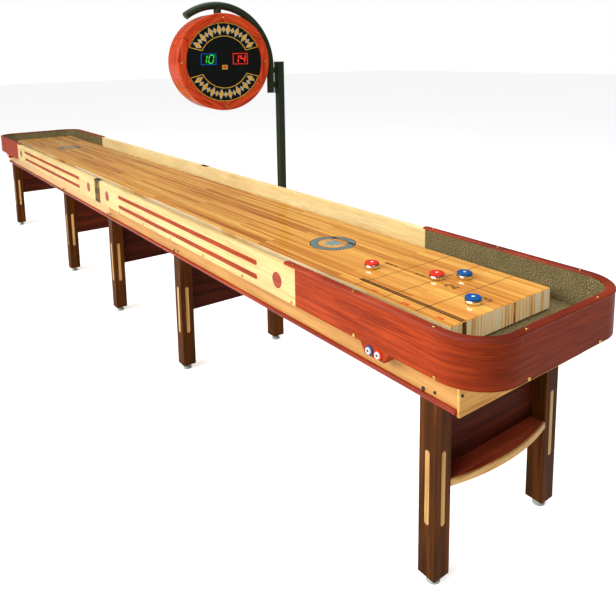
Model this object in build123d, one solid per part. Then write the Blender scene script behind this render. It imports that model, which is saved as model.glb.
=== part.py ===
from build123d import *
import os
from math import cos, degrees, radians, sin, sqrt

os.makedirs("parts", exist_ok=True)

# A bank shuffleboard table, in millimetres. +X runs along the table, +Y points to the side that
# carries the score pole, +Z is up. The model is drawn about the table's own centre line and moved
# once, on export, so that the origin is the middle of the overall box at floor level.

# ---- table ----
table_length = 6096
table_width = 787
half_length = table_length / 2
half_width = table_width / 2

# ---- cabinet ----
board_bottom = 762
board_height = 144
board_top = board_bottom + board_height
board_thick = 25
board_edge_radius = 3
corner_radius = 160
corner_easing = 1
seam_x = 2195
rim_thick = 8
rim_overhang = 2
rim_width = 32
rim_edge_radius = 4
tongue_length = 80
carpet_lap = 60
floor_thick = 15
floor_inner_y = 215
floor_end_x = 2650
carpet_thick = 4
carpet_inner_y = 235
carpet_inner_x = 2790

# ---- cabinet inlays and fittings ----
inlay_depth = 3
strip_height = 22
strip_x = (375, 1932)
strip_z = (800, 859)
medallion_radius = 32
medallion_x = (178, 2075)
joint_plate_width = 90
joint_plate_thick = 2
screw_head_radius = 6.5
screw_head_height = 3.5
screw_radius = 2
screw_length = 22
lower_screw_z = board_bottom + 8
board_screw_first_x = seam_x - 25
board_screw_pitch = 356
board_screw_count = 6
end_lower_screw_x = (2527, 2879)
end_lower_screw_y = 190
rim_screw_x = (seam_x - 24, 2512, 2863)
rim_screw_y = 188

# ---- playfield ----
playfield_length = 5644
playfield_width = 520
playfield_thick = 76
playfield_top = 865
playfield_bottom = playfield_top - playfield_thick
support_width = 410
support_thick = 60

# ---- climatic adjusters ----
adjuster_x = (500, 1575, 2430)
adjuster_y = 190
rod_radius = 6
rod_drop = 37
flange_size = (80, 60, 6)
lug_size = (36, 16)
turnbuckle_length = 60
rod_end_play = 4
nut_radius = 11
nut_height = 10

# ---- cradle ----
rail_outer_y = 326
rail_thick = 38
rail_inner_y = rail_outer_y - rail_thick
cradle_bottom = 638
cradle_half_length = 2917
end_board_thick = 10
end_board_proud = 2
rail_end_x = cradle_half_length - end_board_thick
moulding_bottom = 641
moulding_height = 18
moulding_depth = 10
cross_member_x = (340, 680, 1350, 1800, 2250, 2600)
cross_member_thick = 38
cross_member_height = 70
splice_length = 600
splice_height = 22
splice_thick = 6

# ---- legs ----
leg_size = 71
leg_set_x = (-2795, -1012, 0, 1012, 2795)
leg_bottom = 30
tenon_top = 735
tenon_root = 20
leg_edge_radius = 3
leg_inlay_width = 18
leg_inlay_z = (214, 470)
panel_thick = 16
panel_bottom = 313
shelf_top = 358
shelf_thick = 22
shelf_bow = 35
shelf_band = 7
big_bolt = (-20, 667, 7)
small_bolt = (27, 674, 5)
end_bolt_z = 703
end_bolt_inset = 10
bolt_radius = 3
bolt_length = 60
bolt_head_height = 4

# ---- levellers ----
foot_radius = 22.5
foot_height = 16
stem_radius = 6
stem_length = 70
running_gap = 0.06
loose_gap = 0.3

# ---- buttons ----
button_box_x = 2626
button_box_top_width = 132
button_box_bottom_width = 90
button_box_height = 34
button_spacing = 42
button_drop = 15
collar_radius = 16
collar_proud = 5
cap_radius = 11.5
cap_proud = 11.5
cap_inside = 8
cap_dome_radius = 6
button_bore_depth = 18

# ---- pucks ----
puck_radius = 29.35
puck_height = 25
puck_lift = 0.2
puck_cap_radius = 28
puck_cap_height = 8
puck_places = {
    "puck_red_1": (2276, -84),
    "puck_red_2": (2514, 20),
    "puck_blue_1": (2574, 103),
    "puck_blue_2": (2746, -62),
}

# ---- score pole ----
pole_x = 901
pole_y = 434
pole_size = 40
pole_wall = 3
pole_z = (560, 1645)
pole_near_y = pole_y - pole_size / 2
pole_far_y = pole_y + pole_size / 2
board_bracket_z = (795, 875)
rail_bracket_z = (680, 740)
bracket_width = 100
strap_thick = 3
strap_screw_offset = 36

# ---- score arm ----
arm_radius = 20.5
arm_wall = 3
arm_y = 369
arm_low = 1465
arch_centre_y = 33
arch_centre_z = 1619
arch_radius = arm_y - arch_centre_y
arch_angle = 125
arm_plate_thick = 5
arm_plate_low = 1460
arm_plate_screw_z = (1477, 1560)
lug_z = ((1495, 1529), (1580, 1612))
lug_thick = 16

# ---- score head ----
head_y = 33
head_z = 1650
head_turn = -9.5
head_radius = 260
head_depth = 190
head_wall = 20
face_ring_thick = 18
bead_radius = 3
bead_inset = 12
dial_radius = 213
dial_seat_radius = 205
dial_recess = 4
dial_thick = 5
window_size = (87, 61)
window_offset = 90
window_rise = 17
sensor_size = (30, 23)
sensor_drop = 27
display_depth = 28
hanger_gap = 1.5
stud_radius = 5
stud_nut_radius = 9
stud_nut_height = 8
stud_tail = 12
flat_radius = 15
seat_gap = 1


# ---- helpers ----
def block(x_range, y_range, z_range):
    """A box between two planes on each axis."""
    ranges = (x_range, y_range, z_range)
    size = [high - low for low, high in ranges]
    middle = [(high + low) / 2 for low, high in ranges]
    return Pos(*middle) * Box(*size)


def both(low, high, side):
    """A range on the positive side of an axis, or its mirror image when side is -1."""
    return (low, high) if side > 0 else (-high, -low)


def bar_along_y(x, z, y_range, radius):
    """A round bar parallel to Y."""
    length = y_range[1] - y_range[0]
    return Pos(x, sum(y_range) / 2, z) * Rot(90, 0, 0) * Cylinder(radius, length)


def bar_upright(x, y, z_range, radius):
    """A round bar parallel to Z."""
    return Pos(x, y, sum(z_range) / 2) * Cylinder(radius, z_range[1] - z_range[0])


def group(pieces):
    """Separate solids kept together as one compound."""
    found = []
    for piece in pieces:
        found.extend(piece.solids())
    return Compound(found)


def with_mirror(pieces):
    """Pieces of the right half of the table and their mirror images."""
    return group([*pieces, *(mirror(piece, Plane.YZ) for piece in pieces)])


# ---- screws ----
# The turn that points a screw's head from +Z towards each side.
head_up = Rot(0, 0, 0)
head_right = Rot(0, 90, 0)
head_left = Rot(0, -90, 0)


def head_out(side):
    """The turn that points a screw's head towards the near (-1) or far (1) side."""
    return Rot(-90 * side, 0, 0)


def screw(place, turn, head_radius, head_height, shank_radius, shank_length):
    """A domed screw whose head sits on the surface at a place."""
    head = Pos(0, 0, head_height / 2) * Cylinder(head_radius, head_height)
    head = fillet(head.edges().group_by(Axis.Z)[-1], head_height * 0.7)
    shank = Pos(0, 0, -shank_length / 2) * Cylinder(shank_radius, shank_length)
    return Pos(*place) * turn * (head + shank)


def cabinet_screw(place, turn):
    """One brass screw of the cabinet."""
    return screw(place, turn, screw_head_radius, screw_head_height, screw_radius, screw_length)


def end_screws():
    """Screws of the right end: on top of the rim and along the lower edge of the wall."""
    centre = board_thick / 2
    rim_top = board_top + rim_thick
    screws = []
    for side in (-1, 1):
        for x in rim_screw_x:
            screws.append(cabinet_screw((x, side * (half_width - centre), rim_top), head_up))
        screws.append(cabinet_screw((half_length - centre, side * rim_screw_y, rim_top), head_up))
        for x in end_lower_screw_x:
            screws.append(cabinet_screw((x, side * half_width, lower_screw_z), head_out(side)))
        end_place = (half_length, side * end_lower_screw_y, lower_screw_z)
        screws.append(cabinet_screw(end_place, head_right))
    return screws


def board_screws(side):
    """Screws along the lower edge of the right half of a side board."""
    screws = []
    for number in range(board_screw_count):
        x = board_screw_first_x - number * board_screw_pitch
        screws.append(cabinet_screw((x, side * half_width, lower_screw_z), head_out(side)))
    return screws


# ---- cabinet ----
def end_outline(start_x, inset, easing=0):
    """Plan of the right end beyond start_x, inset from the cabinet's outer faces.

    Easing opens the corner a little so that a piece fitted inside only meets the straight walls.
    """
    length = half_length - inset - start_x
    plan = Pos(start_x + length / 2, 0) * Rectangle(length, table_width - 2 * inset)
    corners = plan.vertices().group_by(Axis.X)[-1]
    return fillet(corners, corner_radius - inset + easing)


def end_band(start_x, insets, z_range, easing=0):
    """A U-shaped band round the right end between an outer and an inner inset."""
    outer, inner = insets
    plan = end_outline(start_x, outer, easing) - end_outline(start_x, inner, easing)
    return Pos(0, 0, z_range[0]) * extrude(plan, z_range[1] - z_range[0])


def end_wall(screws):
    """The U-shaped wall of the right end."""
    return end_band(seam_x, (0, board_thick), (board_bottom, board_top)) - screws


def end_rim(screws):
    """The rim on top of the right end, with a round-ended tongue lapping onto each side board."""
    z_range = (board_top, board_top + rim_thick)
    start_x = seam_x - tongue_length + rim_width / 2
    rim = end_band(start_x, (-rim_overhang, rim_width - rim_overhang), z_range)
    for side in (-1, 1):
        tongue_y = side * (half_width + rim_overhang - rim_width / 2)
        rim += bar_upright(start_x, tongue_y, z_range, rim_width / 2)
    rim = fillet(rim.edges().group_by(Axis.Z)[-1], rim_edge_radius)
    return rim - screws


def end_carpet():
    """The carpet lining inside the right end, which laps onto the side boards under the rim."""
    low = board_bottom + floor_thick + carpet_thick
    insets = (board_thick, board_thick + carpet_thick)
    return end_band(seam_x - carpet_lap, insets, (low, board_top), corner_easing)


def inlay(outline, side):
    """An inlay let into the outer face of a side board."""
    face = Plane(origin=(0, side * half_width, 0), x_dir=(1, 0, 0), z_dir=(0, -1, 0))
    return extrude(face * outline, side * inlay_depth)


def inlay_strips(side):
    """The two long strips on the right half of a side."""
    x_start, x_end = strip_x
    slot = SlotOverall(x_end - x_start, strip_height)
    return [inlay(Pos((x_start + x_end) / 2, z) * slot, side) for z in strip_z]


def medallions(side):
    """The round medallions at both ends of the strips on the right half of a side."""
    z = sum(strip_z) / 2
    return [inlay(Pos(x, z) * Circle(medallion_radius), side) for x in medallion_x]


def side_board(side, screws):
    """The right length of a side board, pocketed for its inlays and bored for its screws."""
    y_range = both(half_width - board_thick, half_width, side)
    board = block((0, seam_x), y_range, (board_bottom, board_top))
    top_edges = board.edges().filter_by(Axis.X).group_by(Axis.Z)[-1]
    board = fillet(top_edges, board_edge_radius)
    return board - group(inlay_strips(side) + medallions(side)) - screws


def joint_plate(side):
    """The angle plate that covers the joint of two side boards and turns over their top."""
    half = joint_plate_width / 2
    outer = half_width + joint_plate_thick
    top = board_top + joint_plate_thick
    face = block((-half, half), both(half_width, outer, side), (board_bottom, top))
    cap = block((-half, half), both(half_width - board_thick, outer, side), (board_top, top))
    return face + cap


def gutter_floor():
    """The floor under the gutters: a strip along each side and a plate at each end."""
    z_range = (board_bottom, board_bottom + floor_thick)
    floor_edge = half_width - board_thick
    strip_range = (-floor_end_x, floor_end_x)
    strips = [block(strip_range, both(floor_inner_y, floor_edge, side), z_range) for side in (-1, 1)]
    plate = extrude(end_outline(floor_end_x, board_thick, corner_easing), floor_thick)
    plate = Pos(0, 0, board_bottom) * plate
    return group([*strips, plate, mirror(plate, Plane.YZ)])


def gutter_carpet():
    """One ring of carpet on the gutter floor."""
    right_half = end_outline(0, board_thick, corner_easing)
    left_half = mirror(right_half, Plane.YZ)
    opening = Rectangle(2 * carpet_inner_x, 2 * carpet_inner_y)
    ring = extrude(right_half + left_half - opening, carpet_thick)
    return Pos(0, 0, board_bottom + floor_thick) * ring


# ---- playfield ----
def playfield():
    """The thick playing slab, its top edges slightly eased."""
    half_x = playfield_length / 2
    half_y = playfield_width / 2
    slab = block((-half_x, half_x), (-half_y, half_y), (playfield_bottom, playfield_top))
    return chamfer(slab.edges().group_by(Axis.Z)[-1], 2)


def cross_member_places():
    """X of every cross member, each of which carries one playfield support."""
    return [sign * x for sign in (-1, 1) for x in cross_member_x]


def playfield_supports():
    """Blocks that carry the playfield on the cross members."""
    half_x = support_thick / 2
    half_y = support_width / 2
    z_range = (board_bottom, playfield_bottom)
    places = cross_member_places()
    return group([block((x - half_x, x + half_x), (-half_y, half_y), z_range) for x in places])


def climatic_adjuster(x):
    """A threaded rod across the underside of the playfield, held by a steel lug on each side."""
    rod_z = playfield_bottom - rod_drop
    flange_x, flange_y, flange_z = flange_size
    lug_x, lug_y = lug_size
    rod_end = adjuster_y + lug_y / 2 + nut_height + rod_end_play
    rod = bar_along_y(x, rod_z, (-rod_end, rod_end), rod_radius)
    turnbuckle = extrude(RegularPolygon(nut_radius, 6), turnbuckle_length / 2, both=True)
    rod += Pos(x, 0, rod_z) * Rot(90, 0, 0) * turnbuckle
    pieces = []
    for side in (-1, 1):
        y = side * adjuster_y
        flange = Pos(x, y, playfield_bottom - flange_z / 2) * Box(flange_x, flange_y, flange_z)
        lug_z_range = (rod_z - lug_x / 2, playfield_bottom - flange_z)
        lug = block((x - lug_x / 2, x + lug_x / 2), (y - lug_y / 2, y + lug_y / 2), lug_z_range)
        hole = bar_along_y(x, rod_z, (y - lug_y, y + lug_y), rod_radius + loose_gap)
        pieces.append(flange + lug - hole)
        nut_start = adjuster_y + lug_y / 2
        rod += bar_along_y(x, rod_z, both(nut_start, nut_start + nut_height, side), nut_radius)
    return [*pieces, rod]


def climatic_adjusters():
    """All the adjusters along the playfield."""
    pieces = []
    for x in adjuster_x:
        pieces += climatic_adjuster(x)
    return with_mirror(pieces)


# ---- cradle ----
def bolt(place, turn, head_radius):
    """One bolt of the cradle."""
    return screw(place, turn, head_radius, bolt_head_height, bolt_radius, bolt_length)


def leg_bolts():
    """Two bolts through the rail into every leg, and one in each corner of the end boards."""
    bolts = []
    for side in (-1, 1):
        for leg_x in leg_set_x:
            for offset, z, head_radius in (big_bolt, small_bolt):
                place = (leg_x + offset, side * rail_outer_y, z)
                bolts.append(bolt(place, head_out(side), head_radius))
        corner_y = side * (rail_outer_y - end_bolt_inset)
        bolts.append(bolt((cradle_half_length, corner_y, end_bolt_z), head_right, small_bolt[2]))
        bolts.append(bolt((-cradle_half_length, corner_y, end_bolt_z), head_left, small_bolt[2]))
    return group(bolts)


def cradle_rails(bolts):
    """The side rails, each in two lengths that meet at the middle of the table."""
    z_range = (cradle_bottom, board_bottom)
    rails = []
    for side in (-1, 1):
        y_range = both(rail_inner_y, rail_outer_y, side)
        rails.append(block((-rail_end_x, 0), y_range, z_range))
        rails.append(block((0, rail_end_x), y_range, z_range))
    return group([rail - bolts for rail in rails])


def cradle_end_boards(bolts):
    """The boards that close the ends of the cradle."""
    half_y = rail_outer_y + end_board_proud
    z_range = (cradle_bottom - end_board_proud, board_bottom)
    boards = []
    for side in (-1, 1):
        board = block(both(rail_end_x, cradle_half_length, side), (-half_y, half_y), z_range)
        board = fillet(board.edges().filter_by(Axis.Z), board_edge_radius)
        boards.append(board - bolts)
    return group(boards)


def cradle_cross_members():
    """Cross boards between the rails."""
    half_x = cross_member_thick / 2
    y_range = (-rail_inner_y, rail_inner_y)
    z_range = (board_bottom - cross_member_height, board_bottom)
    places = cross_member_places()
    return group([block((x - half_x, x + half_x), y_range, z_range) for x in places])


def cradle_splice_plates():
    """Steel bars inside the rails, over the middle legs, that tie the two lengths together."""
    half_x = splice_length / 2
    z_range = (tenon_top + 2, tenon_top + 2 + splice_height)
    bars = []
    for side in (-1, 1):
        bars.append(block((-half_x, half_x), both(rail_inner_y - splice_thick, rail_inner_y, side), z_range))
    return group(bars)


def base_moulding():
    """The rounded moulding along the lower edge of the rails, in two lengths on each side."""
    z_range = (moulding_bottom, moulding_bottom + moulding_height)
    lengths = []
    for side in (-1, 1):
        y_range = both(rail_outer_y, rail_outer_y + moulding_depth, side)
        for x_range in ((-rail_end_x, 0), (0, rail_end_x)):
            bar = block(x_range, y_range, z_range)
            edges = bar.edges().filter_by(Axis.X).group_by(Axis.Y)
            outer_edges = edges[0] if side < 0 else edges[-1]
            lengths.append(fillet(outer_edges, moulding_depth * 0.6))
    return group(lengths)


# ---- legs ----
def leg_centre_y(side):
    """Y of the middle of a leg."""
    return side * (rail_outer_y - leg_size / 2)


def leg_inlays(leg_x, side):
    """Three inlays of a leg: on its outward side and on its two faces along the table."""
    low, high = leg_inlay_z
    slot = Pos(0, (low + high) / 2) * Rot(0, 0, 90) * SlotOverall(high - low, leg_inlay_width)
    outward = Plane(origin=(leg_x, side * rail_outer_y, 0), x_dir=(1, 0, 0), z_dir=(0, -1, 0))
    pieces = [extrude(outward * slot, side * inlay_depth)]
    for end in (-1, 1):
        origin = (leg_x + end * leg_size / 2, leg_centre_y(side), 0)
        along = Plane(origin=origin, x_dir=(0, 1, 0), z_dir=(1, 0, 0))
        pieces.append(extrude(along * slot, -end * inlay_depth))
    return pieces


def all_leg_inlays():
    """Every leg inlay."""
    pieces = []
    for leg_x in leg_set_x:
        pieces += leg_inlays(leg_x, -1) + leg_inlays(leg_x, 1)
    return group(pieces)


def leg(leg_x, side, bolts):
    """A leg with a tenon that runs up behind the rail, bored for its leveller and its bolts."""
    x_range = (leg_x - leg_size / 2, leg_x + leg_size / 2)
    inner_y = rail_outer_y - leg_size
    post = block(x_range, both(inner_y, rail_outer_y, side), (leg_bottom, cradle_bottom))
    post = fillet(post.edges().filter_by(Axis.Z), leg_edge_radius)
    post += block(x_range, both(inner_y, rail_inner_y, side), (cradle_bottom - tenon_root, tenon_top))
    bore_range = (leg_bottom, leg_bottom + stem_length + 5)
    bore = bar_upright(leg_x, leg_centre_y(side), bore_range, stem_radius + running_gap)
    return post - group(leg_inlays(leg_x, side)) - bolts - bore


def leg_pair(leg_x, bolts):
    """The two legs of a set."""
    return group([leg(leg_x, -1, bolts), leg(leg_x, 1, bolts)])


def panel_range(leg_x):
    """X range of the cross panel of a set, flush with the side of the legs facing the middle."""
    end = -1 if leg_x < 0 else 1
    back = abs(leg_x) - leg_size / 2
    return both(back, back + panel_thick, end)


def leg_panels():
    """The cross panel between the legs of every set."""
    half_y = rail_outer_y - leg_size
    panels = []
    for leg_x in leg_set_x:
        at_table_end = abs(leg_x) == max(leg_set_x)
        low = shelf_top - shelf_thick if at_table_end else panel_bottom
        panels.append(block(panel_range(leg_x), (-half_y, half_y), (low, tenon_top)))
    return group(panels)


def bow_front(back_x, setback):
    """Plan between the cross panel and a bowed front line, set back from the shelf's own front."""
    half_y = rail_outer_y - leg_size
    side_x = leg_set_x[-1] + leg_size / 2 - setback
    front = ThreePointArc((side_x, -half_y), (side_x + shelf_bow, 0), (side_x, half_y))
    sides = Polyline((side_x, half_y), (back_x, half_y), (back_x, -half_y), (side_x, -half_y))
    return make_face([front, sides])


def end_shelves():
    """The bow-front shelves between the legs at both ends of the table."""
    back_x = panel_range(leg_set_x[-1])[1]
    shelf = extrude(bow_front(back_x, shelf_band), shelf_thick)
    return with_mirror([Pos(0, 0, shelf_top - shelf_thick) * shelf])


def shelf_edges():
    """The pale band along the front of each shelf."""
    back_x = panel_range(leg_set_x[-1])[1]
    band = extrude(bow_front(back_x, 0) - bow_front(back_x, shelf_band), shelf_thick)
    return with_mirror([Pos(0, 0, shelf_top - shelf_thick) * band])


def leveller(leg_x, side):
    """A threaded foot: round pad, hexagon that stops against the leg, and stem."""
    y = leg_centre_y(side)
    pad = bar_upright(leg_x, y, (0, foot_height), foot_radius)
    pad = chamfer(pad.edges().group_by(Axis.Z)[-1], foot_height * 0.6)
    hexagon = extrude(RegularPolygon(foot_radius * 0.55, 6), leg_bottom - foot_height)
    stem = bar_upright(leg_x, y, (foot_height, leg_bottom + stem_length), stem_radius)
    return pad + Pos(leg_x, y, foot_height) * hexagon + stem


# ---- buttons ----
def button_x(box_side, colour_side):
    """X of a button: colour_side is -1 for the left one of a box and 1 for the right one."""
    return box_side * button_box_x + colour_side * button_spacing / 2


def button_box(box_side):
    """A block under the overhang of the near side, narrower at its foot, bored for two buttons."""
    half_top = button_box_top_width / 2
    half_bottom = button_box_bottom_width / 2
    outline = Polyline(
        (-half_top, 0),
        (half_top, 0),
        (half_bottom, -button_box_height),
        (-half_bottom, -button_box_height),
        close=True,
    )
    origin = (box_side * button_box_x, -rail_outer_y, board_bottom)
    face = Plane(origin=origin, x_dir=(1, 0, 0), z_dir=(0, -1, 0))
    box = extrude(face * make_face(outline), half_width - rail_outer_y)
    bore_range = (-half_width, -half_width + button_bore_depth)
    for colour_side in (-1, 1):
        x = button_x(box_side, colour_side)
        box -= bar_along_y(x, board_bottom - button_drop, bore_range, cap_radius + running_gap)
    return box


def button_collar(x):
    """The coloured collar round a button."""
    y_range = (-half_width - collar_proud, -half_width)
    z = board_bottom - button_drop
    ring = bar_along_y(x, z, y_range, collar_radius)
    ring = fillet(ring.edges().group_by(Axis.Y)[0], 1.5)
    return ring - bar_along_y(x, z, y_range, cap_radius + running_gap)


def push_button(x):
    """A domed cap that slides in its collar and box."""
    y_range = (-half_width - cap_proud, -half_width + cap_inside)
    cap = bar_along_y(x, board_bottom - button_drop, y_range, cap_radius)
    return fillet(cap.edges().group_by(Axis.Y)[0], cap_dome_radius)


# ---- pucks ----
def puck(x, y):
    """A steel weight, tapered at its foot, under a round cap."""
    seat = puck_height - puck_cap_height
    weight_profile = Polyline(
        (0, 0),
        (puck_radius - 5, 0),
        (puck_radius, 7),
        (puck_radius, seat - 3),
        (puck_radius - 3, seat),
        (0, seat),
        close=True,
    )
    cap_profile = Polyline(
        (0, seat),
        (puck_cap_radius - 2, seat),
        (puck_cap_radius, seat + 2),
        (puck_cap_radius, puck_height - 3),
        (puck_cap_radius - 3, puck_height),
        (0, puck_height),
        close=True,
    )
    place = Pos(x, y, playfield_top + puck_lift)
    profiles = (weight_profile, cap_profile)
    return group([place * revolve(Plane.XZ * make_face(p), Axis.Z) for p in profiles])


# ---- score pole and arm ----
def score_pole(screws):
    """The square steel pole, closed at both ends."""
    half = pole_size / 2
    inner = half - pole_wall
    low, high = pole_z
    tube = block((pole_x - half, pole_x + half), (pole_near_y, pole_far_y), pole_z)
    tube = fillet(tube.edges().filter_by(Axis.Z), pole_wall)
    hollow_y = (pole_y - inner, pole_y + inner)
    hollow = block((pole_x - inner, pole_x + inner), hollow_y, (low + pole_wall, high - pole_wall))
    return tube - hollow - screws


def bracket(near_y, z_range):
    """A spacer between the table and the pole, with a strap over the pole and two screws."""
    half = bracket_width / 2
    spacer = block((pole_x - half, pole_x + half), (near_y, pole_near_y), z_range)
    ears = block((pole_x - half, pole_x + half), (pole_near_y, pole_near_y + strap_thick), z_range)
    wrap = pole_size / 2 + strap_thick
    strap = ears + block((pole_x - wrap, pole_x + wrap), (pole_near_y, pole_far_y + strap_thick), z_range)
    pole_half = pole_size / 2
    strap -= block((pole_x - pole_half, pole_x + pole_half), (pole_near_y, pole_far_y), z_range)
    screws = []
    for offset in (-strap_screw_offset, strap_screw_offset):
        place = (pole_x + offset, pole_near_y + strap_thick, sum(z_range) / 2)
        screws.append(screw(place, head_out(1), 6, 3, bolt_radius, pole_near_y - near_y - 1))
    cutter = group(screws)
    return [spacer - cutter, strap - cutter, *screws]


def arm_screws():
    """Screws that hold the arm's plate to the pole."""
    y = pole_near_y - arm_plate_thick
    return [screw((pole_x, y, z), head_out(-1), 7, 4, bolt_radius, 15) for z in arm_plate_screw_z]


def pole_brackets():
    """Both brackets with their straps and screws, and the screws of the arm's plate."""
    at_board = bracket(half_width, board_bracket_z)
    at_rail = bracket(rail_outer_y, rail_bracket_z)
    return group([*at_board, *at_rail, *arm_screws()])


def arch_point(angle, radius):
    """Y and Z of a point on the arch, measured from the horizontal on the far side."""
    y = arch_centre_y + radius * cos(radians(angle))
    z = arch_centre_z + radius * sin(radians(angle))
    return y, z


def arm_rod(radius, trim_angle, trim_length):
    """A round rod along the arm's centre line, trimmed back from both of its ends."""
    low = arm_low + trim_length
    end_angle = arch_angle - trim_angle
    bend_start = (pole_x, arm_y, arch_centre_z)
    middle = (pole_x, *arch_point(end_angle / 2, arch_radius))
    tip = (pole_x, *arch_point(end_angle, arch_radius))
    path = Line((pole_x, arm_y, low), bend_start) + ThreePointArc(bend_start, middle, tip)
    return sweep(Plane.XY.offset(low) * Pos(pole_x, arm_y) * Circle(radius), path)


def hanger_levels():
    """Z of the hanger's lower face and of the seat inside the arm for the stud's upper nut."""
    low = head_z + head_radius + hanger_gap
    arch_z = arch_centre_z + sqrt(arch_radius**2 - (head_y - arch_centre_y) ** 2)
    return low, arch_z - arm_radius / 2


def score_arm(screws):
    """The arched tube with its hanger, and the plate and lugs that join it to the pole."""
    low, seat = hanger_levels()
    end_angle = degrees(arm_wall / arch_radius)
    tube = arm_rod(arm_radius, 0, 0)
    hollow = arm_rod(arm_radius - arm_wall, end_angle, arm_wall)
    tube += bar_upright(pole_x, head_y, (low, seat), arm_radius)
    hollow -= bar_upright(pole_x, head_y, (low, seat), arm_radius)
    half = pole_size / 2
    plate_near_y = pole_near_y - arm_plate_thick
    plate = block((pole_x - half, pole_x + half), (plate_near_y, pole_near_y), (arm_plate_low, pole_z[1]))
    lug_x = (pole_x - lug_thick / 2, pole_x + lug_thick / 2)
    for z_range in lug_z:
        tube += block(lug_x, (arm_y, plate_near_y), z_range)
    stud_bore = bar_upright(pole_x, head_y, (low, seat), stud_radius + running_gap)
    return tube + plate - hollow - stud_bore - screws


# ---- score head ----
def head_place():
    """The score head's frame: its own Z runs through both dials and its own X points down."""
    return Pos(pole_x, head_y, head_z) * Rot(0, 0, head_turn) * Rot(0, 90, 0)


def score_hanger_stud():
    """The stud the head hangs on: a nut inside the arm, and a nut inside the head's wall."""
    inside_wall = head_z + head_radius - head_wall - seat_gap
    seat = hanger_levels()[1]
    stud = bar_upright(pole_x, head_y, (inside_wall - stud_tail, seat + stud_nut_height), stud_radius)
    nut = extrude(RegularPolygon(stud_nut_radius, 6), stud_nut_height)
    stud += Pos(pole_x, head_y, inside_wall - stud_nut_height) * nut
    return stud + Pos(pole_x, head_y, seat) * nut


def score_housing(stud):
    """The turned drum: a round wall with a bead near each end and a face ring seating each dial."""
    half = head_depth / 2
    ring_back = half - face_ring_thick
    seat = half - dial_recess - dial_thick
    drum = Cylinder(head_radius, head_depth)
    drum = fillet(drum.edges().filter_by(GeomType.CIRCLE), 6)
    drum -= Cylinder(head_radius - head_wall, 2 * ring_back)
    drum -= Cylinder(dial_seat_radius, head_depth)
    for end in (-1, 1):
        drum -= Pos(0, 0, end * (seat + half) / 2) * Cylinder(dial_radius, half - seat)
        drum -= Pos(0, 0, end * (half - bead_inset)) * Torus(head_radius + bead_radius * 0.6, bead_radius)
    drum = head_place() * drum
    flat_z = (head_z, head_z + head_radius - head_wall - seat_gap)
    flat_seat = bar_upright(pole_x, head_y, flat_z, flat_radius)
    return drum - flat_seat - stud


def dial_windows():
    """Outlines of one dial's two digit windows and its sensor window."""
    width, height = window_size
    sensor_width, sensor_height = sensor_size
    outlines = [Pos(sensor_drop, 0) * Rectangle(sensor_height, sensor_width)]
    for side in (-1, 1):
        outlines.append(Pos(-window_rise, side * window_offset) * Rectangle(height, width))
    return outlines


def score_dials():
    """The two black dials with their windows."""
    plan = Circle(dial_radius - loose_gap)
    for outline in dial_windows():
        plan -= outline
    dial = Pos(0, 0, head_depth / 2 - dial_recess - dial_thick) * extrude(plan, dial_thick)
    return head_place() * group([dial, mirror(dial, Plane.XY)])


def score_displays():
    """The display and sensor modules that fill the windows of both dials from behind."""
    front = head_depth / 2 - dial_recess
    modules = []
    for outline in dial_windows():
        module = Pos(0, 0, front - display_depth) * extrude(outline, display_depth)
        modules += [module, mirror(module, Plane.XY)]
    return head_place() * group(modules)


# ---- export ----
overall_near_y = -half_width - cap_proud
overall_far_y = pole_far_y + strap_thick
to_origin = Pos(0, -(overall_near_y + overall_far_y) / 2, 0)


def save(name, shape):
    """Writes one node, moved so that the overall box is centred on the origin."""
    export_step(to_origin * shape, f"parts/{name}.step")


def save_with_left(name, shape):
    """Writes a right-hand piece and its mirror image at the left end of the table."""
    save(f"{name}_right", shape)
    save(f"{name}_left", mirror(shape, Plane.YZ))


def save_cabinet():
    """Boards, end walls, rims, inlays, carpets and screws."""
    near_screws = board_screws(-1)
    far_screws = board_screws(1)
    at_end = end_screws()
    screws = [*at_end, *near_screws, *far_screws]
    cutter = group(screws)
    save_with_left("side_board_near", side_board(-1, cutter))
    save_with_left("side_board_far", side_board(1, cutter))
    save_with_left("end_wall", end_wall(cutter))
    save_with_left("end_rim", end_rim(cutter))
    save("end_carpets", with_mirror([end_carpet() - cutter]))
    save("board_inlay_strips", with_mirror(inlay_strips(-1) + inlay_strips(1)))
    save("board_medallions", with_mirror(medallions(-1) + medallions(1)))
    save("joint_plates", group([joint_plate(-1), joint_plate(1)]))
    save("cabinet_screws", with_mirror(screws))
    save("gutter_floor", gutter_floor())
    save("gutter_carpet", gutter_carpet())


def save_playfield():
    """The playfield, what carries it, and the pucks."""
    save("playfield", playfield())
    save("playfield_supports", playfield_supports())
    save("climatic_adjusters", climatic_adjusters())
    for name, (x, y) in puck_places.items():
        save(name, puck(x, y))


def save_cradle():
    """The cradle, legs, shelves and levellers."""
    bolts = leg_bolts()
    save("leg_bolts", bolts)
    save("cradle_rails", cradle_rails(bolts))
    save("cradle_end_boards", cradle_end_boards(bolts))
    save("cradle_cross_members", cradle_cross_members())
    save("cradle_splice_plates", cradle_splice_plates())
    save("base_moulding", base_moulding())
    for number, leg_x in enumerate(leg_set_x, 1):
        save(f"leg_pair_{number}", leg_pair(leg_x, bolts))
        save(f"leveller_{number}_near", leveller(leg_x, -1))
        save(f"leveller_{number}_far", leveller(leg_x, 1))
    save("leg_panels", leg_panels())
    save("leg_inlays", all_leg_inlays())
    save("end_shelves", end_shelves())
    save("shelf_edges", shelf_edges())


def save_buttons():
    """The two button boxes, their collars and the four buttons."""
    save("button_boxes", group([button_box(-1), button_box(1)]))
    collars = []
    for box_side, end_name in ((-1, "left"), (1, "right")):
        for colour_side, colour in ((-1, "blue"), (1, "red")):
            x = button_x(box_side, colour_side)
            collars.append(button_collar(x))
            save(f"button_{colour}_{end_name}", push_button(x))
    save("button_collars", group(collars))


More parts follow.
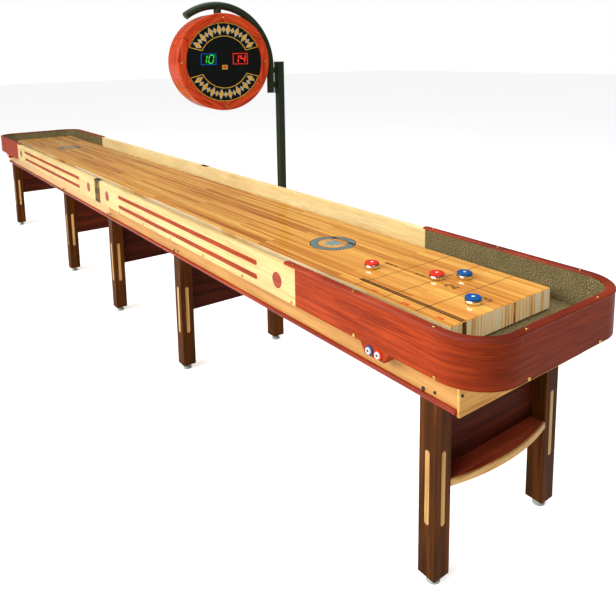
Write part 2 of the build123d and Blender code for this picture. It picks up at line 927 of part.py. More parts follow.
def save_score_unit():
    """The pole, the arm and the turning score head."""
    stud = score_hanger_stud()
    plate_screws = group(arm_screws())
    save("score_pole", score_pole(plate_screws))
    save("pole_brackets", pole_brackets())
    save("score_arm", score_arm(plate_screws))
    save("score_hanger_stud", stud)
    save("score_housing", score_housing(stud))
    save("score_dials", score_dials())
    save("score_displays", score_displays())


save_cabinet()
save_playfield()
save_cradle()
save_buttons()
save_score_unit()
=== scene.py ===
import bmesh
import bpy
from math import cos, pi, radians, sin, tau
from mathutils import Matrix, Vector


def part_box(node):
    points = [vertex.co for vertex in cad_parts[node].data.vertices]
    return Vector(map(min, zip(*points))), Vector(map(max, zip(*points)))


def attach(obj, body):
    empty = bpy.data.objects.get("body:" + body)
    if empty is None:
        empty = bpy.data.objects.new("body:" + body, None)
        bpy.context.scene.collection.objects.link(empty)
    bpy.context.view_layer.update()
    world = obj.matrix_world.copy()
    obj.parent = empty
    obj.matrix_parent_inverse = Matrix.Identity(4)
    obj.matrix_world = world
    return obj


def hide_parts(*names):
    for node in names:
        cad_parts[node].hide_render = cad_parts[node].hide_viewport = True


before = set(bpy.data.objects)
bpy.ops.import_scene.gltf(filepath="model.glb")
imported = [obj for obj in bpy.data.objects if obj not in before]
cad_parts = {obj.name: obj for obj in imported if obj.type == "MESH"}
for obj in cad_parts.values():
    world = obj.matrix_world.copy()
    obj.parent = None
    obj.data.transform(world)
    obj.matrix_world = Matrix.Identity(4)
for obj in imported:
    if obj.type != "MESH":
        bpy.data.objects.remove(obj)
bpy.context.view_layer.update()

mm = 0.001

# ---- places read from the frame ----
play_low, play_high = (Vector(corner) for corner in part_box("playfield"))
table_y = (play_low.y + play_high.y) / 2
play_top = play_high.z
play_end = play_high.x
play_half_width = (play_high.y - play_low.y) / 2
head_low, head_high = (Vector(corner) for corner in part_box("score_housing"))
head_centre = (head_low + head_high) / 2
wall_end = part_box("end_wall_right")[1][0]

# ---- dimensions of the finer pieces, the same as the CAD's where it has them ----
ink = 0.15 * mm
zone_lines = (150 * mm, 300 * mm, 450 * mm)
line_width = 2.6 * mm
stripe_y = 197 * mm
stripe_width = 9 * mm
stripe_gap = 2 * mm
stripe_length = 482 * mm
dark_stave_y = 59 * mm
dark_stave_width = 13 * mm
numeral_y = 238 * mm
numeral_size = 37 * mm
numeral_shift = 14 * mm
numeral_weight = 0.9 * mm
centre_numeral_size = 66 * mm
centre_numeral_back = 8 * mm
centre_numeral_line = 1.7 * mm
marks_before_zones = 73 * mm
mark_pitch = 22 * mm
mark_half_length = 9 * mm
mark_half_width = 7 * mm
ring_inset = 892 * mm
ring_radius = 100 * mm
puck_radius = 29.35 * mm
puck_height = 25 * mm
puck_cap_radius = 28 * mm
puck_cap_height = 8 * mm
puck_cap_dish = 0.7 * mm
button_eye_depth = 2.5 * mm
collar_gap = 0.2 * mm
head_turn = radians(-9.5)
head_half_depth = 95 * mm
dial_front = 91 * mm
face_screw_radius = 236 * mm
band_outer_radius = 211 * mm
band_inner_radius = 137 * mm
band_line = 4 * mm
band_rise = 0.3 * mm
band_starts = (22.5, 202.5)
band_sweep = 135
band_flare = 4.5
band_lozenges = 15
frame_rise = 1.5 * mm
window_size = (87 * mm, 61 * mm)
window_line = 5 * mm
window_offset = 90 * mm
window_rise = 17 * mm
figure_size = (25 * mm, 42 * mm)
figure_pitch = 38 * mm
figure_lead = 23 * mm
figure_slant = 0.16
sensor_size = (30 * mm, 23 * mm)
sensor_line = 6 * mm
sensor_drop = 27 * mm
lens_half_size = (7 * mm, 4 * mm)
plate_size = (90 * mm, 144 * mm)
plate_border_inset = 4 * mm
scroll_wire = 1.1 * mm
scroll_centre = (20 * mm, 34 * mm)
scroll_stretch = (0.95, 1.6)
scroll_radius = 17 * mm
scroll_shrink = 14 * mm
scroll_turn = 2.6 * pi
scroll_point_count = 40

# ---- the studio's sizes, camera and lamps ----
floor_half_size = 40
camera_place = (4.0265, table_y - 1.6814, 1.6910)
camera_degrees = (81.294, 0.858, 53.325)
camera_lens = 37.0
camera_shift = -0.236
# Each lamp's name, place, target, size in metres and power in watts.
lamps = (
    ("key", (1.1, -5.2, 3.6), (0.8, 0, 0.7), (8.0, 2.0), 410),
    ("overhead", (0.5, 0.6, 5.0), (0.5, 0, 0.8), (7.0, 2.5), 150),
    ("end", (6.2, 1.2, 2.6), (3.0, 0, 0.7), (1.6, 1.6), 8),
    ("well", (3.27, 0, 1.3), (2.83, 0, 0.76), (0.5, 0.2), 1.3),
)
reflected_lamps = ("key", "overhead")


# ---- materials ----
def colour(red, green, blue):
    """A linear colour from 0 to 255 screen values."""
    return (*(((value / 255 + 0.055) / 1.055) ** 2.4 for value in (red, green, blue)), 1)


class Nodes:
    """A material's node tree with short calls for the nodes used here."""

    def __init__(self, name, roughness, **sockets):
        self.material = bpy.data.materials.new(name)
        self.material.use_nodes = True
        self.tree = self.material.node_tree
        self.shader = self.tree.nodes["Principled BSDF"]
        self.shader.inputs["Roughness"].default_value = roughness
        for socket, value in sockets.items():
            self.shader.inputs[socket.replace("_", " ")].default_value = value

    def add(self, kind, inputs=None, **settings):
        """A node; an input is a constant or an output socket to link from."""
        node = self.tree.nodes.new("ShaderNode" + kind)
        for name, value in settings.items():
            setattr(node, name, value)
        for name, value in (inputs or {}).items():
            if isinstance(value, bpy.types.NodeSocket):
                self.tree.links.new(value, node.inputs[name])
            else:
                node.inputs[name].default_value = value
        return node

    def place(self, scale):
        """The object's own coordinates, scaled along each axis."""
        coordinates = self.add("TexCoord").outputs["Object"]
        return self.add("Mapping", {"Vector": coordinates, "Scale": scale}).outputs["Vector"]

    def noise(self, scale, vector, detail=4.0, distortion=0.0):
        """Fractal noise."""
        inputs = {"Vector": vector, "Scale": scale, "Detail": detail, "Distortion": distortion}
        return self.add("TexNoise", inputs).outputs["Fac"]

    def ramp(self, factor, *stops):
        """A colour ramp through (position, colour) stops."""
        node = self.add("ValToRGB", {"Fac": factor})
        elements = node.color_ramp.elements
        while len(elements) < len(stops):
            elements.new(0.5)
        for element, (position, value) in zip(elements, stops):
            element.position = position
            element.color = value
        return node.outputs["Color"]

    def mix(self, factor, first, second, blend="MIX"):
        """Mixes two colours."""
        node = self.add("Mix", data_type="RGBA", blend_type=blend)
        for number, value in ((0, factor), (6, first), (7, second)):
            if isinstance(value, bpy.types.NodeSocket):
                self.tree.links.new(value, node.inputs[number])
            else:
                node.inputs[number].default_value = value
        return node.outputs[2]

    def math(self, operation, first, second=0.0):
        """One arithmetic step."""
        return self.add("Math", {0: first, 1: second}, operation=operation).outputs["Value"]

    def between(self, factor, low, high):
        """Maps 0 to 1 onto low to high."""
        inputs = {"Value": factor, "To Min": low, "To Max": high}
        return self.add("MapRange", inputs).outputs["Result"]

    def bump(self, height, strength, distance):
        """Bumps the surface by a height."""
        inputs = {"Height": height, "Strength": strength, "Distance": distance}
        self.link(self.add("Bump", inputs).outputs["Normal"], "Normal")

    def link(self, output, socket):
        """Feeds one of the shader's sockets."""
        self.tree.links.new(output, self.shader.inputs[socket])


def along_grain(axes, amount):
    """A scale for each axis that draws a pattern out along the named axes."""
    return tuple(amount if axis in axes else 1 for axis in "XYZ")


def wood(
    name, tones, along, roughness, coat=0.1, figure=1.0, pores=0.4, shine=0.15, end_painted_shade=1.0, left=None
):
    """Lacquered wood: light, middle and dark tones drawn out along one axis or two.

    Painted shade: the colour is multiplied by end_painted_shade across the table's ends, standing in for
    the dimmer light there; boards left of the middle are drawn towards the tone called left.
    """
    nodes = Nodes(name, roughness, Coat_Weight=coat, Coat_Roughness=0.12, Specular_IOR_Level=shine)
    grain = nodes.noise(26 * figure, nodes.place(along_grain(along, 0.05)), 6, 1.0)
    light, middle, dark = tones
    base = nodes.ramp(grain, (0.3, dark), (0.5, middle), (0.7, light))
    cloud = nodes.noise(3.0, nodes.place((1, 1, 1)), 3)
    shade = nodes.ramp(cloud, (0.3, (0.88, 0.87, 0.86, 1)), (0.7, (1.05, 1.04, 1.03, 1)))
    base = nodes.mix(1.0, base, shade, "MULTIPLY")
    pore = nodes.noise(420, nodes.place(along_grain(along, 0.02)), 3)
    pore_mask = nodes.ramp(pore, (0.42, (1, 1, 1, 1)), (0.55, (0, 0, 0, 1)))
    darkened = nodes.mix(1.0, base, (0.62, 0.56, 0.52, 1), "MULTIPLY")
    faded = nodes.math("MULTIPLY", pore_mask, pores)
    base = nodes.mix(faded, base, darkened)
    coordinates = nodes.add("TexCoord").outputs["Object"]
    x = nodes.add("SeparateXYZ", {"Vector": coordinates}).outputs["X"]
    if left:
        base = nodes.mix(nodes.math("LESS_THAN", x, 0.0), base, nodes.mix(0.6, base, left))
    # Painted shade: the colour darkens towards the table's ends, standing in for the dimmer light on them.
    if end_painted_shade < 1:
        inputs = {"Value": nodes.math("ABSOLUTE", x), "From Min": wall_end - 0.2, "From Max": wall_end}
        inputs |= {"To Min": 1.0, "To Max": end_painted_shade}
        painted_shade = nodes.add("MapRange", inputs).outputs["Result"]
        base = nodes.mix(1.0, base, painted_shade, "MULTIPLY")
    nodes.link(base, "Base Color")
    nodes.link(nodes.between(grain, roughness - 0.05, roughness + 0.08), "Roughness")
    nodes.bump(pore, 0.12, 0.2 * mm)
    return nodes.material


def playfield_wood():
    """Glued maple staves, each its own tone, under a thick clear coat; paler on the sawn faces, partly from
    their own end grain and partly painted light where they lie in shade.
    """
    nodes = Nodes("playfield_staves", 0.3, Coat_Weight=0.5, Coat_Roughness=0.02, Specular_IOR_Level=0.1)
    inputs = {
        "Vector": nodes.place((1, 1, 1)),
        "Color1": (0, 0, 0, 1),
        "Color2": (1, 1, 1, 1),
        "Mortar": (0.3, 0.3, 0.3, 1),
        "Scale": 1.0,
        "Mortar Size": 0.25 * mm,
        "Brick Width": 0.86,
        "Row Height": 19 * mm,
    }
    brick = nodes.add("TexBrick", inputs, offset=0.37, offset_frequency=2)
    streak = nodes.noise(34, nodes.place((0.03, 1, 1)), 6, 0.8)
    streaks = nodes.ramp(streak, (0.3, (0, 0, 0, 1)), (0.7, (1, 1, 1, 1)))
    tone = nodes.mix(0.5, brick.outputs["Color"], streaks)
    top = nodes.ramp(
        tone,
        (0.05, colour(170, 94, 28)),
        (0.3, colour(216, 142, 56)),
        (0.6, colour(240, 172, 80)),
        (0.95, colour(252, 204, 100)),
    )
    edge_streak = nodes.noise(90, nodes.place((0.03, 1, 0.03)), 5, 0.3)
    edge_streaks = nodes.ramp(edge_streak, (0.35, (0, 0, 0, 1)), (0.62, (1, 1, 1, 1)))
    # Partly the sawn faces' own paler end grain, partly painted light brightening them where they lie in
    # shade.
    sawn_grain_and_painted_light = nodes.ramp(
        nodes.mix(0.7, brick.outputs["Color"], edge_streaks),
        (0.05, colour(206, 140, 76)),
        (0.3, colour(240, 198, 134)),
        (0.6, colour(255, 232, 182)),
        (0.95, colour(246, 232, 206)),
    )
    normal = nodes.add("SeparateXYZ", {"Vector": nodes.add("NewGeometry").outputs["Normal"]})
    upward = nodes.math("ABSOLUTE", normal.outputs["Z"])
    on_top = nodes.math("GREATER_THAN", upward, 0.5)
    pore = nodes.noise(500, nodes.place((0.02, 1, 1)), 2)
    worn = nodes.ramp(pore, (0.35, (0.88, 0.85, 0.8, 1)), (0.6, (1, 1, 1, 1)))
    nodes.link(nodes.mix(1.0, nodes.mix(on_top, sawn_grain_and_painted_light, top), worn, "MULTIPLY"), "Base Color")
    nodes.link(nodes.between(on_top, 0.6, 0.24), "Roughness")
    nodes.link(nodes.between(on_top, 0.0, 0.6), "Coat Weight")
    return nodes.material


def segmented_ring():
    """The score head's wood: segments glued round a ring, the grain of each running along it."""
    nodes = Nodes("cherry_head", 0.26, Coat_Weight=0.12, Coat_Roughness=0.1, Specular_IOR_Level=0.15)
    coordinates = nodes.add("TexCoord").outputs["Object"]
    centred = nodes.add("VectorMath", {0: coordinates, 1: tuple(head_centre)}, operation="SUBTRACT")
    turned_back = nodes.add("VectorRotate", {"Vector": centred.outputs["Vector"], "Angle": -head_turn})
    split = nodes.add("SeparateXYZ", {"Vector": turned_back.outputs["Vector"]})
    axial, across, upward = (split.outputs[axis] for axis in "XYZ")
    angle = nodes.math("ARCTAN2", upward, across)
    segment_angle = tau / 6
    segment = nodes.math("ROUND", nodes.math("DIVIDE", angle, segment_angle))
    middle = nodes.math("MULTIPLY", segment, segment_angle)
    cosine, sine = nodes.math("COSINE", middle), nodes.math("SINE", middle)
    outward_part = nodes.math("MULTIPLY", across, cosine)
    outward = nodes.math("ADD", outward_part, nodes.math("MULTIPLY", upward, sine))
    along_part = nodes.math("MULTIPLY", upward, cosine)
    along = nodes.math("SUBTRACT", along_part, nodes.math("MULTIPLY", across, sine))
    shifted = nodes.math("ADD", outward, nodes.math("MULTIPLY", segment, 0.37))
    inputs = {"X": axial, "Y": shifted, "Z": nodes.math("MULTIPLY", along, 0.06)}
    place = nodes.add("CombineXYZ", inputs).outputs["Vector"]
    grain = nodes.noise(90, place, 6, 1.0)
    base = nodes.ramp(
        grain,
        (0.3, colour(136, 34, 12)),
        (0.45, colour(186, 58, 22)),
        (0.7, colour(216, 84, 36)),
    )
    dark_line = nodes.ramp(nodes.noise(150, place, 2), (0.3, (0.35, 0.3, 0.3, 1)), (0.38, (1, 1, 1, 1)))
    base = nodes.mix(0.7, base, nodes.mix(1.0, base, dark_line, "MULTIPLY"))
    off_middle = nodes.math("ABSOLUTE", nodes.math("SUBTRACT", angle, middle))
    joint = nodes.math("GREATER_THAN", off_middle, segment_angle / 2 - 0.005)
    nodes.link(nodes.mix(joint, base, colour(90, 20, 8)), "Base Color")
    nodes.link(nodes.between(grain, 0.2, 0.34), "Roughness")
    return nodes.material


def carpet():
    """Short olive pile with a fleck."""
    nodes = Nodes("carpet_pile", 0.95, Specular_IOR_Level=0.1)
    fleck = nodes.noise(260, nodes.place((1, 1, 1)), 4)
    patch = nodes.noise(16, nodes.place((1, 1, 1)), 4)
    speckle = nodes.ramp(
        fleck,
        (0.36, colour(62, 54, 30)),
        (0.5, colour(116, 102, 66)),
        (0.64, colour(172, 156, 116)),
    )
    shade = nodes.ramp(patch, (0.3, (0.82, 0.84, 0.82, 1)), (0.7, (1.05, 1.02, 1.0, 1)))
    nodes.link(nodes.mix(1.0, speckle, shade, "MULTIPLY"), "Base Color")
    nodes.bump(fleck, 0.9, 1.5 * mm)
    return nodes.material


def metal(name, tone, roughness, worn_tone=None, scale=60.0):
    """Metal with a little wear and uneven polish."""
    nodes = Nodes(name, roughness, Metallic=1.0)
    patch = nodes.noise(scale, nodes.place((1, 1, 1)), 5)
    dull = worn_tone or tuple(part * 0.7 for part in tone[:3]) + (1,)
    nodes.link(nodes.ramp(patch, (0.35, dull), (0.6, tone)), "Base Color")
    nodes.link(nodes.between(patch, roughness - 0.05, roughness + 0.12), "Roughness")
    nodes.bump(nodes.noise(900, nodes.place((1, 1, 1)), 2), 0.05, 0.1 * mm)
    return nodes.material


def painted(name, tone, roughness, coat=0.0, grit=300.0, depth=0.1, shine=0.4):
    """Paint or plastic with a faint texture and slight variation."""
    nodes = Nodes(name, roughness, Coat_Weight=coat, Coat_Roughness=0.08, Specular_IOR_Level=shine)
    patch = nodes.noise(22, nodes.place((1, 1, 1)), 4)
    dull = tuple(part * 0.86 for part in tone[:3]) + (1,)
    nodes.link(nodes.ramp(patch, (0.35, dull), (0.65, tone)), "Base Color")
    nodes.link(nodes.between(patch, roughness - 0.04, roughness + 0.06), "Roughness")
    nodes.bump(nodes.noise(grit, nodes.place((1, 1, 1)), 2), depth, 0.15 * mm)
    return nodes.material


def glowing(name, tone, strength):
    """A lit display segment with a slightly uneven glow."""
    nodes = Nodes(name, 0.4, Emission_Strength=strength)
    patch = nodes.noise(140, nodes.place((1, 1, 1)), 2)
    dimmer = tuple(part * 0.75 for part in tone[:3]) + (1,)
    lit = nodes.ramp(patch, (0.3, dimmer), (0.6, tone))
    nodes.link(lit, "Base Color")
    nodes.link(lit, "Emission Color")
    return nodes.material


near_tones = (colour(242, 216, 150), colour(236, 207, 140), colour(226, 192, 122))
# Painted light: the far boards' maple is paler than the near boards' to offset the weaker light on their
# inner faces.
far_painted_light_tones = (colour(255, 235, 178), colour(253, 227, 163), colour(248, 214, 146))
rail_tones = (colour(218, 164, 94), colour(208, 152, 82), colour(192, 134, 66))
pale_rail = colour(236, 200, 144)
rail_end_tones = (colour(246, 196, 110), colour(236, 176, 88), colour(206, 140, 60))
wall_tones = (colour(194, 74, 26), colour(180, 64, 20), colour(154, 50, 14))
rim_tones = (colour(188, 72, 36), colour(164, 54, 24), colour(124, 36, 14))
leg_tones = (colour(116, 62, 20), colour(86, 46, 12), colour(58, 30, 8))
panel_tones = (colour(108, 42, 22), colour(80, 32, 18), colour(54, 20, 12))
# Painted light: the shelf tones are brightened to offset the shade the table top casts over the shelves.
shelf_painted_light_tones = (colour(178, 84, 52), colour(156, 66, 38), colour(128, 50, 28))
pale_tones = (colour(240, 196, 126), colour(226, 178, 106), colour(194, 142, 76))
ply_tones = (colour(206, 180, 140), colour(184, 154, 112), colour(150, 120, 84))
walnut_tones = (colour(118, 72, 22), colour(88, 52, 14), colour(60, 34, 10))
stave_tones = (colour(226, 148, 60), colour(206, 126, 46), colour(164, 92, 30))

maple_near = wood("maple_near", near_tones, "X", 0.4)
maple_far_painted_light = wood("maple_far_painted_light", far_painted_light_tones, "X", 0.4)
maple_rails = wood("maple_rails", rail_tones, "X", 0.42, left=pale_rail)
maple_rail_ends = wood("maple_rail_ends", rail_end_tones, "Y", 0.42)
# The walls and rims carry painted shade that darkens them towards the table's ends.
cherry_walls = wood("cherry_walls", wall_tones, "XY", 0.36, 0.03, 3.0, 0.9, 0.08, end_painted_shade=0.5)
cherry_rims = wood("cherry_rims", rim_tones, "XY", 0.22, 0.12, 1.6, 0.5, 0.2, end_painted_shade=0.6)
cherry_legs = wood("cherry_legs", leg_tones, "Z", 0.4, 0.0, 1.2, 0.4, 0.06)
cherry_panels = wood("cherry_panels", panel_tones, "Y", 0.45, 0.0, 1.0, 0.4, 0.06)
cherry_shelves = wood("cherry_shelves", shelf_painted_light_tones, "Y", 0.42, 0.0)
maple_leg_inlays = wood("maple_leg_inlays", pale_tones, "Z", 0.4)
maple_shelf_edges = wood("maple_shelf_edges", pale_tones, "Y", 0.4)
plywood = wood("plywood", ply_tones, "X", 0.6, 0.0)
walnut = wood("walnut_stripe", walnut_tones, "X", 0.26, 0.5)
dark_stave = wood("dark_stave", stave_tones, "X", 0.26, 0.5)
brass = metal("brass", colour(240, 200, 110), 0.18, colour(170, 122, 50))
patina = metal("brass_patina", colour(120, 92, 40), 0.4, colour(36, 28, 14), 160.0)
steel = metal("plated_steel", colour(176, 178, 176), 0.3)
chrome = metal("chrome", colour(232, 232, 230), 0.05, colour(210, 210, 208), 24.0)
black_steel = painted("black_steel", colour(38, 52, 32), 0.42, 0.0, shine=0.25)
bolt_black = painted("bolt_black", colour(20, 30, 20), 0.35)
foot_paint = painted("leveller_paint", colour(176, 190, 178), 0.35, 0.1)
dial_black = painted("dial_black", colour(8, 14, 12), 0.5, shine=0.15)
display_black = painted("display_black", colour(10, 12, 12), 0.3, shine=0.2)
gold = painted("gold_print", colour(214, 160, 46), 0.4)
pale_blue = painted("pale_blue_print", colour(150, 180, 200), 0.4)
ink_black = painted("line_ink", colour(44, 38, 26), 0.3)
ink_red = painted("numeral_ink", colour(228, 36, 20), 0.3)
ring_pale = painted("inlay_pale", colour(132, 158, 158), 0.3)
ring_dark = painted("inlay_dark", colour(44, 58, 58), 0.3)
red_gloss = painted("red_gloss", colour(236, 46, 22), 0.3, 0.1, shine=0.2)
blue_gloss = painted("blue_gloss", colour(4, 84, 156), 0.3, 0.1, shine=0.2)
white_gloss = painted("white_gloss", colour(240, 242, 242), 0.2, 0.4)
# Painted shade: a dark gloss used only as the shadow inside the button caps' dishes.
painted_shade_gloss = painted("painted_shade_gloss", colour(40, 34, 30), 0.2, 0.4)
lit_green = glowing("lit_green", colour(30, 190, 50), 0.9)
lit_red = glowing("lit_red", colour(240, 44, 24), 0.9)

leg_pairs = [f"leg_pair_{number}" for number in range(1, 6)]
node_materials = {
    maple_near: ["side_board_near_left", "side_board_near_right"],
    maple_far_painted_light: ["side_board_far_left", "side_board_far_right"],
    maple_rails: ["cradle_rails"],
    maple_rail_ends: ["cradle_end_boards"],
    cherry_walls: ["end_wall_left", "end_wall_right", "button_boxes", "board_inlay_strips"],
    cherry_rims: ["end_rim_left", "end_rim_right", "base_moulding", "board_medallions"],
    segmented_ring(): ["score_housing"],
    cherry_legs: leg_pairs,
    cherry_panels: ["leg_panels"],
    cherry_shelves: ["end_shelves"],
    maple_leg_inlays: ["leg_inlays"],
    maple_shelf_edges: ["shelf_edges"],
    plywood: ["gutter_floor", "playfield_supports", "cradle_cross_members"],
    playfield_wood(): ["playfield"],
    carpet(): ["gutter_carpet", "end_carpets"],
    brass: ["cabinet_screws"],
    patina: ["joint_plates"],
    steel: ["climatic_adjusters", "cradle_splice_plates", "score_hanger_stud"],
    black_steel: ["score_pole", "pole_brackets", "score_arm"],
    bolt_black: ["leg_bolts"],
    dial_black: ["score_dials"],
    display_black: ["score_displays"],
    chrome: ["button_blue_left", "button_red_left", "button_blue_right", "button_red_right"],
}
for material, names in node_materials.items():
    for name in names:
        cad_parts[name].data.materials.clear()
        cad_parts[name].data.materials.append(material)
for name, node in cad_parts.items():
    if name.startswith("leveller_"):
        node.data.materials.clear()
        node.data.materials.append(foot_paint)


# ---- mesh helpers ----
def piece(name, mesh, material, body, place=None, smooth=False):
    """Turns a bmesh into an object that rides on a body."""
    if place is not None:
        mesh.transform(place)
    bmesh.ops.recalc_face_normals(mesh, faces=mesh.faces)
    for face in mesh.faces:
        face.smooth = smooth
    data = bpy.data.meshes.new(name)
    mesh.to_mesh(data)
    mesh.free()
    data.materials.append(material)
    made = bpy.data.objects.new(name, data)
    bpy.context.scene.collection.objects.link(made)
    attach(made, body)
    return made


def add_slab(mesh, outline, low, high):
    """Adds a prism from a plan outline between two heights."""
    bottom = [mesh.verts.new((x, y, low)) for x, y in outline]
    top = [mesh.verts.new((x, y, high)) for x, y in outline]
    mesh.faces.new(bottom[::-1])
    mesh.faces.new(top)
    count = len(outline)
    for index in range(count):
        after = (index + 1) % count
        mesh.faces.new((bottom[index], bottom[after], top[after], top[index]))


def rectangle(x_low, x_high, y_low, y_high):
    """A rectangle's outline."""
    return [(x_low, y_low), (x_high, y_low), (x_high, y_high), (x_low, y_high)]


def arc_points(radius, start, end, count, centre=(0, 0)):
    """Points along an arc, angles in degrees."""
    step = radians(end - start) / count
    angles = [radians(start) + index * step for index in range(count + 1)]
    return [(centre[0] + radius * cos(angle), centre[1] + radius * sin(angle)) for angle in angles]


def add_ring(mesh, inner, outer, low, high, start=0.0, end=360.0, count=96):
    """Adds an annulus, or a sector of one, between two heights."""
    closed = end - start >= 360
    inside = arc_points(inner, start, end, count)
    outside = arc_points(outer, start, end, count)
    if closed:
        inside, outside = inside[:-1], outside[:-1]
    levels = []
    for height in (low, high):
        levels.append([[mesh.verts.new((x, y, height)) for x, y in line] for line in (inside, outside)])
    (low_in, low_out), (high_in, high_out) = levels
    for index in range(count):
        after = (index + 1) % len(inside)
        mesh.faces.new((low_in[index], low_in[after], low_out[after], low_out[index]))
        mesh.faces.new((high_in[index], high_out[index], high_out[after], high_in[after]))
        mesh.faces.new((low_out[index], low_out[after], high_out[after], high_out[index]))
        mesh.faces.new((low_in[index], high_in[index], high_in[after], low_in[after]))
    if not closed:
        for index in (0, count):
            mesh.faces.new((low_in[index], low_out[index], high_out[index], high_in[index]))


def turned(name, profile, material, body, place, count=64):
    """A shape turned about its own Z from (radius, height) points."""
    mesh = bmesh.new()
    rings = []
    for radius, height in profile:
        if radius == 0:
            rings.append([mesh.verts.new((0, 0, height))])
        else:
            turn = [tau * index / count for index in range(count)]
            rings.append([mesh.verts.new((radius * cos(a), radius * sin(a), height)) for a in turn])
    for first, second in zip(rings, rings[1:]):
        for index in range(count):
            after = (index + 1) % count
            if len(first) == 1:
                mesh.faces.new((first[0], second[index], second[after]))
            elif len(second) == 1:
                mesh.faces.new((first[index], first[after], second[0]))
            else:
                mesh.faces.new((first[index], first[after], second[after], second[index]))
    made = piece(name, mesh, material, body, place, smooth=True)
    made.modifiers.new("sharp", "EDGE_SPLIT").split_angle = radians(35)
    return made


def rounded(profile, corner, steps=4):
    """Rounds every corner of a (radius, height) profile between its two end points."""
    points = [Vector(point) for point in profile]
    smooth = [points[0]]
    for before, here, after in zip(points, points[1:], points[2:]):
        reach = min(corner, (here - before).length * 0.45, (after - here).length * 0.45)
        start = here + (before - here).normalized() * reach
        end = here + (after - here).normalized() * reach
        for step in range(steps + 1):
            part = step / steps
            smooth.append(start.lerp(here, part).lerp(here.lerp(end, part), part))
    smooth.append(points[-1])
    return [(point.x, point.y) for point in smooth]


# ---- playfield print ----
def end_frame(end):
    """The playfield's frame at one end: own X runs towards that end, and Y is turned with it."""
    turn = Matrix.Rotation(0 if end > 0 else pi, 4, "Z")
    return Matrix.Translation((0, table_y, play_top)) @ turn


def playfield_lines():
    """Score lines across both ends."""
    mesh = bmesh.new()
    width = play_half_width - 2 * mm
    for end in (-1, 1):
        for distance in zone_lines:
            x = end * (play_end - distance)
            add_slab(mesh, rectangle(x - line_width / 2, x + line_width / 2, -width, width), 0, ink)
    piece("score_lines", mesh, ink_black, "table", Matrix.Translation((0, table_y, play_top)))


def add_end_band(mesh, end, y, width):
    """Adds a band down one end face of the playfield."""
    depth = play_high.z - play_low.z
    x_low, x_high = sorted((end * play_end, end * (play_end + 2 * ink)))
    add_slab(mesh, rectangle(x_low, x_high, y - width / 2, y + width / 2), -depth + mm, -2 * mm)


def playfield_stripes():
    """The double walnut stripe in front of each end, and one dark stave down the whole length."""
    place = Matrix.Translation((0, table_y, play_top))
    reach = play_end - 2 * mm
    stripes = bmesh.new()
    for end in (-1, 1):
        x_range = sorted((end * (play_end - stripe_length), end * reach))
        for step in (-1, 1):
            low = -end * stripe_y + step * (stripe_gap + stripe_width) / 2 - stripe_width / 2
            add_slab(stripes, rectangle(*x_range, low, low + stripe_width), 0, ink)
        add_end_band(stripes, end, -end * stripe_y, 2 * stripe_width + stripe_gap)
    piece("playfield_stripes", stripes, walnut, "table", place)
    stave = bmesh.new()
    low = dark_stave_y - dark_stave_width / 2
    add_slab(stave, rectangle(-reach, reach, low, low + dark_stave_width), 0, ink)
    for end in (-1, 1):
        add_end_band(stave, end, dark_stave_y, dark_stave_width)
    piece("playfield_dark_stave", stave, dark_stave, "table", place)


def numeral(name, words, size, material, place, weight=0.0, outline=0.0):
    """A flat figure printed on the playfield, centred on a place, solid or drawn as an outline."""
    data = bpy.data.curves.new(name, "FONT")
    data.body = words
    data.size = size
    data.align_x = "CENTER"
    data.align_y = "CENTER"
    data.extrude = 0 if outline else ink / 2
    data.offset = weight
    data.fill_mode = "NONE" if outline else "BOTH"
    data.bevel_depth = outline
    text = bpy.data.objects.new(name, data)
    bpy.context.scene.collection.objects.link(text)
    bpy.context.view_layer.update()
    solid = bpy.data.meshes.new_from_object(text)
    bpy.data.objects.remove(text)
    mesh = bmesh.new()
    mesh.from_mesh(solid)
    if outline:
        bmesh.ops.scale(mesh, vec=(1, 1, ink / (2 * outline)), verts=mesh.verts)
    return piece(name, mesh, material, "table", place)


def playfield_numerals():
    """Zone numbers at each end: small red ones beside the stripe, tall black ones on the centre line."""
    edges = (*sorted(zone_lines, reverse=True), 0)
    sideways = Matrix.Rotation(pi / 2, 4, "Z")
    for end, end_name in ((-1, "left"), (1, "right")):
        for number, (start, stop) in enumerate(zip(edges, edges[1:]), 1):
            x = play_end - (start + stop) / 2 + numeral_shift
            name = f"zone_{number}_{end_name}"
            figure = str(number)
            beside = end_frame(end) @ Matrix.Translation((x, -numeral_y, ink / 2)) @ sideways
            numeral(name + "_red", figure, numeral_size, ink_red, beside, weight=numeral_weight)
            middle = Matrix.Translation((x - centre_numeral_back, 0, ink / 2)) @ sideways
            place = end_frame(end) @ middle
            line = centre_numeral_line
            numeral(name + "_black", figure, centre_numeral_size, ink_black, place, outline=line)


def centre_marks():
    """A row of three small lozenges on the centre line before the zones of each end."""
    mesh = bmesh.new()
    for end in (-1, 1):
        middle = end * (play_end - zone_lines[-1] - marks_before_zones)
        for step in (-1, 0, 1):
            x = middle + step * mark_pitch
            outline = [(x - mark_half_length, 0), (x, -mark_half_width)]
            outline += [(x + mark_half_length, 0), (x, mark_half_width)]
            add_slab(mesh, outline, 0, ink)
    piece("centre_marks", mesh, ink_black, "table", Matrix.Translation((0, table_y, play_top)))


